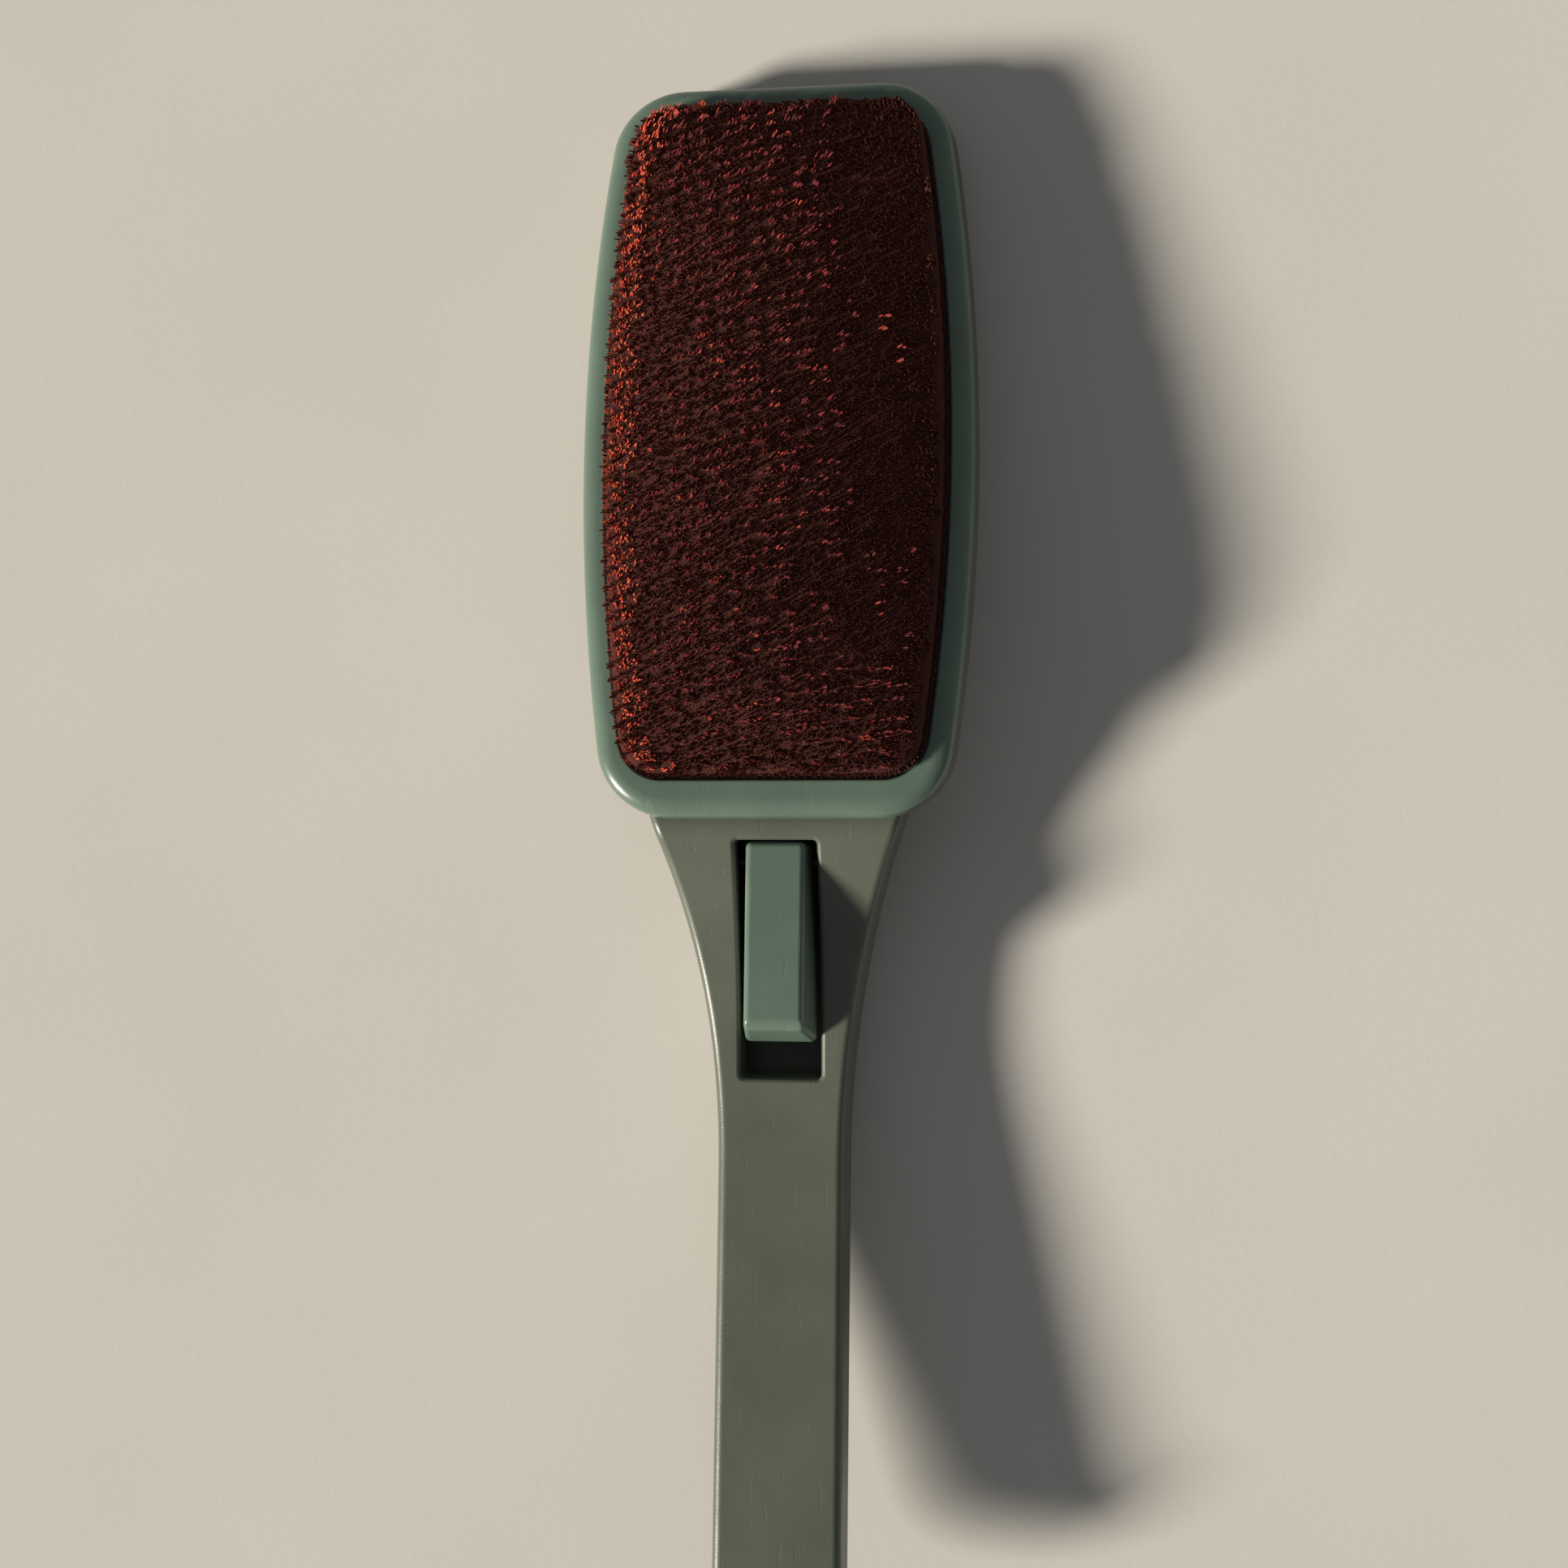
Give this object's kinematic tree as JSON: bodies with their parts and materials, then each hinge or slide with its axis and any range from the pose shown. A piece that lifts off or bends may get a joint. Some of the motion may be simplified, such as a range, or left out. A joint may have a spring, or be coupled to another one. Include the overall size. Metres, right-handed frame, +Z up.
{
  "type": "swivel-head lint brush",
  "caption": "Hand-held clothes brush: a domed red pile pad swivels on a moulded handle, freed by a thumb lever in its neck.",
  "frame": {"origin": "on the table, under the middle of the brush's length and width", "axes": "+Y along the brush towards the tip of its head, +X to its right seen from above, +Z up off the table"},
  "size_m": [0.0622, 0.252, 0.0311],
  "materials": {
    "handle_plastic": "satin moulded grey-green",
    "teal_plastic": "smooth moulded teal-green",
    "inner_plastic": "plain dark moulding",
    "steel": "bright zinc",
    "foam": "soft open foam",
    "red_pile": "glossy leaning pile"
  },
  "bodies": {
    "handle": {"handle_top_shell": "handle_plastic", "handle_bottom_shell": "handle_plastic", "shell_screw_1": "steel", "shell_screw_2": "steel", "shell_screw_3": "steel", "shell_screw_4": "steel", "shell_screw_5": "steel", "shell_screw_6": "steel", "lever_pin": "steel", "latch_spring": "steel", "thrust_washer": "inner_plastic"},
    "lever": {"thumb_lever": "teal_plastic"},
    "latch": {"latch_slider": "inner_plastic"},
    "head": {"head_base": "handle_plastic", "head_bezel": "teal_plastic", "pad_plate": "inner_plastic", "foam_pad": "foam", "lint_pile": "red_pile", "index_disc": "inner_plastic", "swivel_screw": "steel", "bezel_screw_1": "steel", "bezel_screw_2": "steel", "bezel_screw_3": "steel", "bezel_screw_4": "steel"}
  },
  "joints": [
    {"name": "lever_hinge", "type": "hinge", "parent": "handle", "child": "lever", "pos_m": [0, 0.0026, 0.0146], "axis": [1, 0, 0], "range_deg": [0, 17], "stiffness_Nm_per_rad": 0.076, "springref_deg": -6.99},
    {"name": "latch_slide", "type": "slide", "parent": "handle", "child": "latch", "axis": [0, -0.9898, 0.1426], "range_m": [0, 0.00122], "deforming": ["latch_spring"]},
    {"name": "head_swivel", "type": "hinge", "parent": "handle", "child": "head", "pos_m": [0, 0.06775, 0.01839], "axis": [0, 0.1426, 0.9898], "range_deg": [0, 180]}
  ],
  "couplings": [
    {"joint": "lever_hinge", "follows": "latch_slide", "rad_per_m": 243.2}
  ]
}
